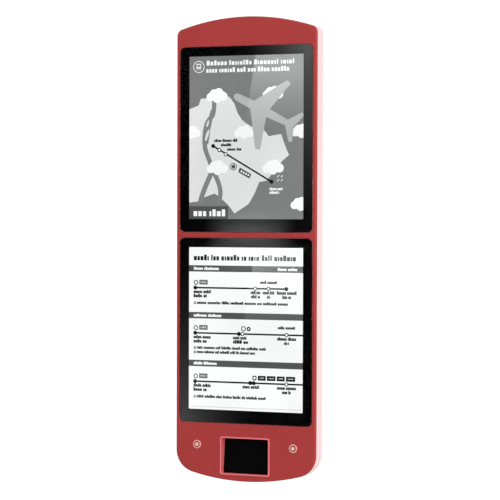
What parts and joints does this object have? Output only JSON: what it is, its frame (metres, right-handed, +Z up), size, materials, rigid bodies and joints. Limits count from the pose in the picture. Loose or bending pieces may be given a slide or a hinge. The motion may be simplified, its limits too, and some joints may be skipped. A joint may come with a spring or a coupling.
{
  "type": "ticket vending machine",
  "caption": "Slim wall-mounted ticket machine: red arched front, two portrait touch screens, ticket outlet and key locks; the front swings up on a top hinge.",
  "frame": {"origin": "middle of the rectangle of wall bolts, on the flat rear face that lies against the wall", "axes": "+X to the user's right, +Z up, and +Y into the wall, so the front with the screens faces -Y"},
  "size_m": [0.375, 0.1136, 1.162],
  "materials": {
    "red_front_paint": "satin",
    "pale_side_paint": "satin",
    "grey_powder_coat": "matt fine texture",
    "black_rubber": "matt",
    "foam_rubber": "matt open cell",
    "black_plastic": "fine texture",
    "black_gloss_plastic": "gloss",
    "bright_red_plastic": "satin gloss",
    "pale_plastic": "fine texture",
    "grey_plastic": "fine texture",
    "white_plastic": "smooth",
    "steel_wire": "bright plated",
    "zinc_plated_steel": "zinc plated",
    "display_steel": "plain sheet",
    "raw_aluminium": "extruded",
    "tool_steel": "ground",
    "bright_screws": "bright plated",
    "lock_chrome": "polished",
    "brass": "machined",
    "black_paint": "semi-gloss",
    "circuit_board": "solder mask",
    "ticket_paper": "smooth thermal coating",
    "black_border": "gloss print behind glass",
    "cover_glass": "polished",
    "upper_picture": "lit display",
    "lower_picture": "lit display"
  },
  "bodies": {
    "cabinet": {"wall_box": "grey_powder_coat", "cable_grommet": "black_rubber", "fan_housing": "black_plastic", "fan_guard": "steel_wire", "power_supply": "zinc_plated_steel", "controller_board": "circuit_board", "heat_sink": "raw_aluminium", "din_rail": "zinc_plated_steel", "circuit_breaker": "pale_plastic", "terminal_blocks": "grey_plastic", "printer_frame": "zinc_plated_steel", "print_head": "raw_aluminium", "stepper_motor": "black_paint", "cutter_frame": "raw_aluminium", "ticket_chute": "zinc_plated_steel", "roll_cradle": "zinc_plated_steel", "lock_strikers": "zinc_plated_steel", "box_hinge_leaf": "zinc_plated_steel", "box_leaf_screws": "bright_screws", "hinge_pin": "tool_steel"},
    "front_door": {"rear_frame": "grey_powder_coat", "door_seal": "foam_rubber", "side_frame": "pale_side_paint", "front_panel": "red_front_paint", "panel_screws": "bright_screws", "upper_screen": "upper_picture", "lower_screen": "lower_picture", "upper_display_case": "display_steel", "lower_display_case": "display_steel", "upper_display_brackets": "zinc_plated_steel", "lower_display_brackets": "zinc_plated_steel", "bracket_nuts": "bright_screws", "upper_driver_board": "circuit_board", "lower_driver_board": "circuit_board", "upper_glass_bond": "black_border", "lower_glass_bond": "black_border", "upper_glass": "cover_glass", "lower_glass": "cover_glass", "outlet_bezel": "bright_red_plastic", "outlet_tray": "black_plastic", "flap_pin": "tool_steel", "left_lock_barrel": "lock_chrome", "right_lock_barrel": "lock_chrome", "lock_nuts": "brass", "door_hinge_leaf": "zinc_plated_steel", "door_leaf_screws": "bright_screws"},
    "outlet_flap": {"outlet_flap": "black_gloss_plastic"},
    "left_lock": {"left_lock_plug": "lock_chrome", "left_lock_cam": "zinc_plated_steel"},
    "right_lock": {"right_lock_plug": "lock_chrome", "right_lock_cam": "zinc_plated_steel"},
    "fan_rotor": {"fan_rotor": "black_plastic"},
    "platen": {"platen_roller": "black_rubber", "platen_gear": "white_plastic"},
    "idler": {"idler_gear": "white_plastic"},
    "pinion": {"motor_pinion": "brass"},
    "paper": {"paper_roll": "ticket_paper", "roll_spindle": "white_plastic"},
    "cutter": {"cutter_blade": "tool_steel"}
  },
  "joints": [
    {"name": "door_hinge", "type": "hinge", "parent": "cabinet", "child": "front_door", "pos_m": [0, -0.058, 0.533], "axis": [-1, 0, 0], "range_deg": [0, 70]},
    {"name": "flap_hinge", "type": "hinge", "parent": "front_door", "child": "outlet_flap", "pos_m": [0, -0.082, -0.474], "axis": [1, 0, 0], "range_deg": [0, 30], "stiffness_Nm_per_rad": 0.05, "springref_deg": -8.59},
    {"name": "left_lock_turn", "type": "hinge", "parent": "front_door", "child": "left_lock", "pos_m": [-0.129, -0.111, -0.4915], "axis": [0, 1, 0], "range_deg": [0, 90]},
    {"name": "right_lock_turn", "type": "hinge", "parent": "front_door", "child": "right_lock", "pos_m": [0.129, -0.111, -0.4915], "axis": [0, -1, 0], "range_deg": [0, 90]},
    {"name": "fan_spin", "type": "hinge", "parent": "cabinet", "child": "fan_rotor", "pos_m": [0.108, -0.03, 0.525], "axis": [0, 0, 1], "continuous": true},
    {"name": "paper_feed", "type": "hinge", "parent": "cabinet", "child": "platen", "pos_m": [0, -0.05925, -0.3895], "axis": [-1, 0, 0], "continuous": true},
    {"name": "idler_turn", "type": "hinge", "parent": "cabinet", "child": "idler", "pos_m": [0.053, -0.03725, -0.3895], "axis": [-1, 0, 0], "continuous": true},
    {"name": "motor_turn", "type": "hinge", "parent": "cabinet", "child": "pinion", "pos_m": [0.053, -0.02025, -0.3895], "axis": [-1, 0, 0], "continuous": true},
    {"name": "roll_turn", "type": "hinge", "parent": "cabinet", "child": "paper", "pos_m": [0, -0.038, -0.3045], "axis": [-1, 0, 0], "continuous": true},
    {"name": "blade_slide", "type": "slide", "parent": "cabinet", "child": "cutter", "axis": [0, 1, 0], "range_m": [0, 0.008]}
  ],
  "couplings": [
    {"joint": "idler_turn", "follows": "paper_feed", "ratio": -1.2},
    {"joint": "motor_turn", "follows": "paper_feed", "ratio": 1.7143},
    {"joint": "roll_turn", "follows": "paper_feed", "ratio": -0.28571}
  ]
}
